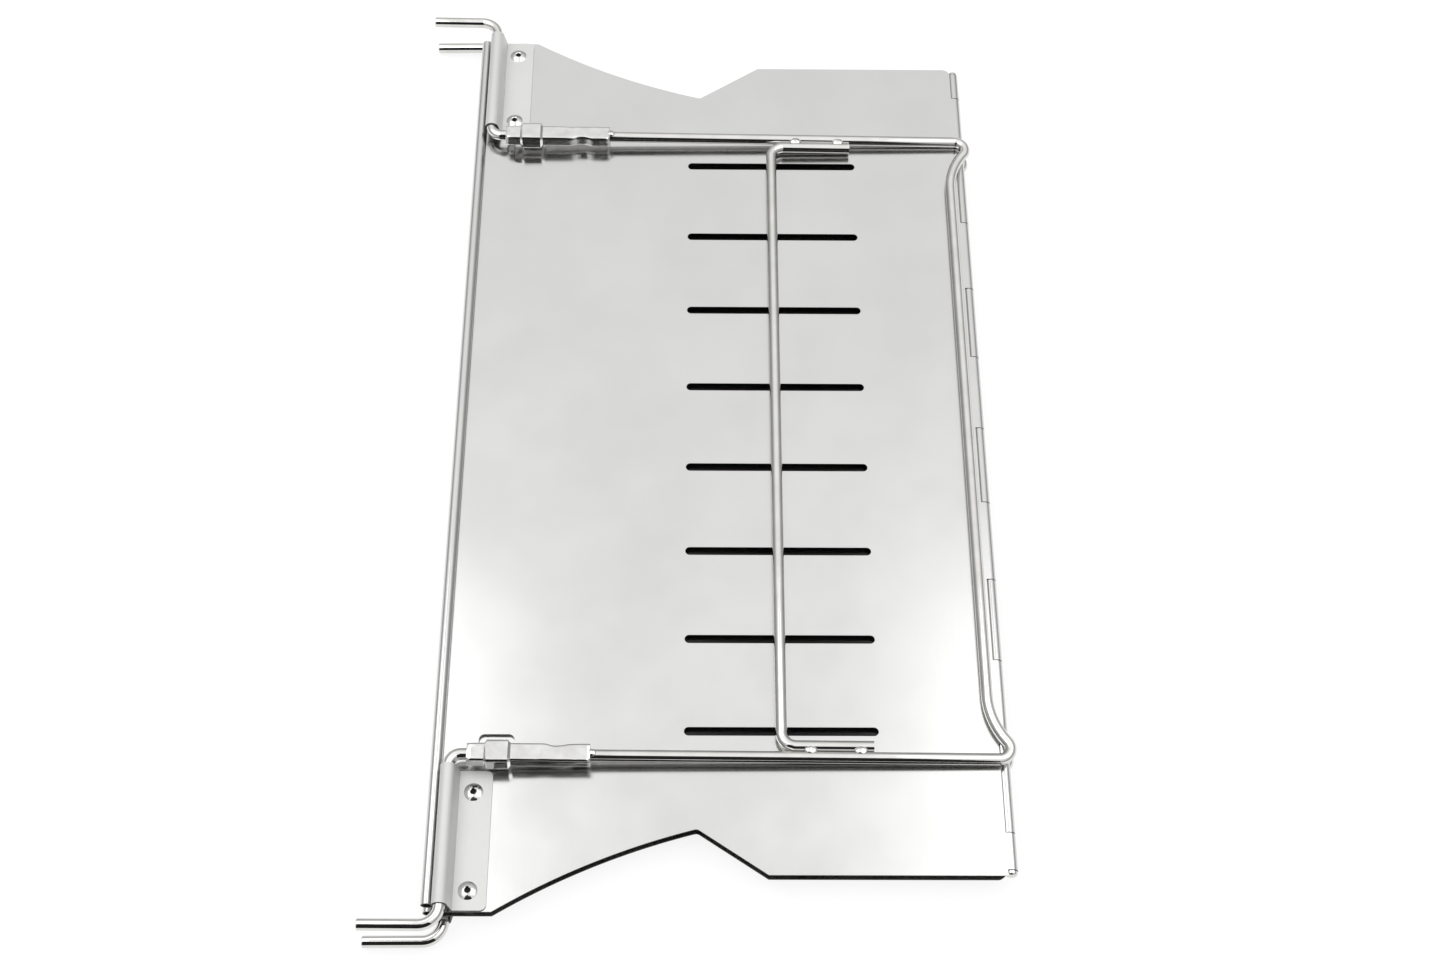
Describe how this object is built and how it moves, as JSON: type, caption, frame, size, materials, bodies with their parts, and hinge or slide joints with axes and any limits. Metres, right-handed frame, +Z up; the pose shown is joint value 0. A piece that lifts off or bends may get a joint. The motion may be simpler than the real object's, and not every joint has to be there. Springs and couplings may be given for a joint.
{
  "type": "folding fire pit stand",
  "caption": "Flat-folding stainless stand: slotted sheet leaves on a long hinge open into a trough, and wire leg frames swing out to carry it.",
  "frame": {"origin": "under the middle of the folded pack, on the surface it lies on", "axes": "+X from the hemmed edges to the hinge, +Y along the hinge pin towards the back end, +Z up, away from the surface"},
  "size_m": [0.215, 0.392, 0.0211],
  "materials": {
    "sheet_steel": "satin mill-finish stainless sheet",
    "wire_steel": "bright drawn stainless wire",
    "sleeve_steel": "bright hand-closed stainless sheet",
    "rivet_steel": "bright stainless blind rivet",
    "weld_steel": "bright weld metal"
  },
  "bodies": {
    "lower_half": {"lower_leaf": "sheet_steel", "lower_back_strap": "sheet_steel", "lower_front_strap": "sheet_steel", "lower_back_rivets": "rivet_steel", "lower_front_rivets": "rivet_steel", "hinge_pin": "wire_steel"},
    "upper_half": {"upper_leaf": "sheet_steel", "upper_back_strap": "sheet_steel", "upper_front_strap": "sheet_steel", "upper_back_rivets": "rivet_steel", "upper_front_rivets": "rivet_steel"},
    "lower_legs": {"lower_back_hook_wire": "wire_steel", "lower_front_hook_wire": "wire_steel", "lower_back_sleeve": "sleeve_steel", "lower_front_sleeve": "sleeve_steel", "lower_leg_wire": "wire_steel", "lower_brace_wire": "wire_steel", "lower_brace_welds": "weld_steel", "lower_sleeve_welds": "weld_steel"},
    "upper_legs": {"upper_back_hook_wire": "wire_steel", "upper_front_hook_wire": "wire_steel", "upper_back_sleeve": "sleeve_steel", "upper_front_sleeve": "sleeve_steel", "upper_leg_wire": "wire_steel", "upper_brace_wire": "wire_steel", "upper_brace_welds": "weld_steel", "upper_sleeve_welds": "weld_steel"}
  },
  "joints": [
    {"name": "leaf_hinge", "type": "hinge", "parent": "lower_half", "child": "upper_half", "pos_m": [0.10342, 0, 0.01055], "axis": [0, 1, 0], "range_deg": [0, 90]},
    {"name": "lower_legs_swing", "type": "hinge", "parent": "lower_half", "child": "lower_legs", "pos_m": [-0.08173, 0, 0.0033], "axis": [0, 1, 0], "range_deg": [0, 60]},
    {"name": "upper_legs_swing", "type": "hinge", "parent": "upper_half", "child": "upper_legs", "pos_m": [-0.08173, 0, 0.0178], "axis": [0, -1, 0], "range_deg": [0, 60]}
  ],
  "couplings": [
    {"joint": "lower_legs_swing", "follows": "leaf_hinge", "ratio": 0.6},
    {"joint": "upper_legs_swing", "follows": "leaf_hinge", "ratio": 0.6}
  ]
}
